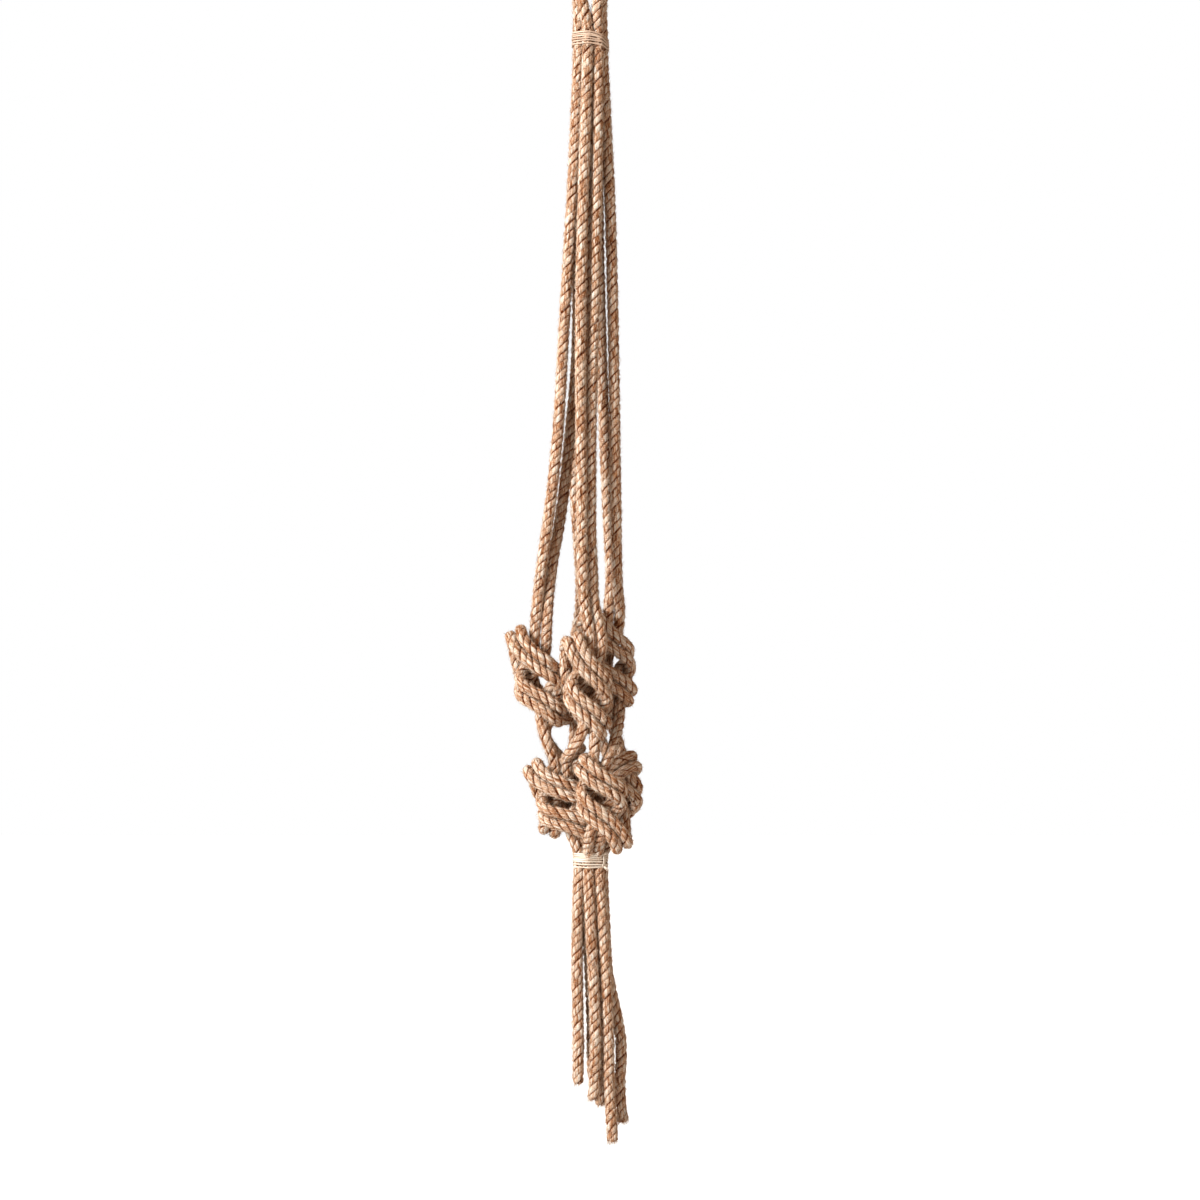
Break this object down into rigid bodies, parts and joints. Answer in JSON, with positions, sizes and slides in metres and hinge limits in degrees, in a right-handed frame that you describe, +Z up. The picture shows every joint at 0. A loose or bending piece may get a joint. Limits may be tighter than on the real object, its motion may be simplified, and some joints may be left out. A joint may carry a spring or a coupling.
{
  "type": "hanging rope planter",
  "caption": "Knotted rope plant hanger: jute ropes folded into a hanging loop, tied in pairs into a closed-up basket of overhand knots, bound with twine, with loose tails below.",
  "frame": {"origin": "the inner top of the hanging loop, where the ropes rest on a hook", "axes": "+Z up along the hanging ropes, +X to the viewer's right, +Y away from the viewer"},
  "size_m": [0.1218, 0.109, 1.0574],
  "materials": {
    "jute_rope": "matt, fibrous",
    "twine": "matt, dry raffia"
  },
  "bodies": {
    "ropes": {"front_1_gather": "jute_rope", "front_1_lower_knot": "jute_rope", "front_1_link": "jute_rope", "front_1_upper_knot": "jute_rope", "front_1_leg": "jute_rope", "front_rope_loop": "jute_rope", "front_2_leg": "jute_rope", "front_2_upper_knot": "jute_rope", "front_2_link": "jute_rope", "front_2_lower_knot": "jute_rope", "front_2_gather": "jute_rope", "left_1_gather": "jute_rope", "left_1_lower_knot": "jute_rope", "left_1_link": "jute_rope", "left_1_upper_knot": "jute_rope", "left_1_leg": "jute_rope", "side_rope_loop": "jute_rope", "right_1_leg": "jute_rope", "right_1_upper_knot": "jute_rope", "right_1_link": "jute_rope", "right_1_lower_knot": "jute_rope", "right_1_gather": "jute_rope", "left_2_gather": "jute_rope", "left_2_lower_knot": "jute_rope", "left_2_link": "jute_rope", "left_2_upper_knot": "jute_rope", "left_2_leg": "jute_rope", "left_rope_loop": "jute_rope", "back_2_leg": "jute_rope", "back_2_upper_knot": "jute_rope", "back_2_link": "jute_rope", "back_2_lower_knot": "jute_rope", "back_2_gather": "jute_rope", "back_1_gather": "jute_rope", "back_1_lower_knot": "jute_rope", "back_1_link": "jute_rope", "back_1_upper_knot": "jute_rope", "back_1_leg": "jute_rope", "back_rope_loop": "jute_rope", "right_2_leg": "jute_rope", "right_2_upper_knot": "jute_rope", "right_2_link": "jute_rope", "right_2_lower_knot": "jute_rope", "right_2_gather": "jute_rope", "front_1_tail": "jute_rope", "top_binding": "twine", "bottom_binding": "twine"},
    "front_2_tail_body": {"front_2_tail": "jute_rope"},
    "right_1_tail_body": {"right_1_tail": "jute_rope"},
    "right_2_tail_body": {"right_2_tail": "jute_rope"},
    "back_2_tail_body": {"back_2_tail": "jute_rope"},
    "back_1_tail_body": {"back_1_tail": "jute_rope"},
    "left_2_tail_body": {"left_2_tail": "jute_rope"},
    "left_1_tail_body": {"left_1_tail": "jute_rope"}
  },
  "joints": [
    {"name": "front_2_tail_swing", "type": "hinge", "parent": "ropes", "child": "front_2_tail_body", "pos_m": [-0.00208, -0.0118, -0.8111], "axis": [-0.9848, 0.1736, 0], "range_deg": [0, 12]},
    {"name": "right_1_tail_swing", "type": "hinge", "parent": "ropes", "child": "right_1_tail_body", "pos_m": [0.00793, -0.00899, -0.8111], "axis": [-0.7498, -0.6617, 0], "range_deg": [0, 12]},
    {"name": "right_2_tail_swing", "type": "hinge", "parent": "ropes", "child": "right_2_tail_body", "pos_m": [0.01197, 0.0006, -0.8111], "axis": [0.0498, -0.9988, 0], "range_deg": [0, 12]},
    {"name": "back_2_tail_swing", "type": "hinge", "parent": "ropes", "child": "back_2_tail_body", "pos_m": [0.007, 0.00973, -0.8111], "axis": [0.8119, -0.5837, 0], "range_deg": [0, 12]},
    {"name": "back_1_tail_swing", "type": "hinge", "parent": "ropes", "child": "back_1_tail_body", "pos_m": [-0.00325, 0.01154, -0.8111], "axis": [0.9626, 0.2708, 0], "range_deg": [0, 12]},
    {"name": "left_2_tail_swing", "type": "hinge", "parent": "ropes", "child": "left_2_tail_body", "pos_m": [-0.01104, 0.00466, -0.8111], "axis": [0.3884, 0.9215, 0], "range_deg": [0, 12]},
    {"name": "left_1_tail_swing", "type": "hinge", "parent": "ropes", "child": "left_1_tail_body", "pos_m": [-0.01052, -0.00573, -0.8111], "axis": [-0.4783, 0.8782, 0], "range_deg": [0, 12]}
  ]
}
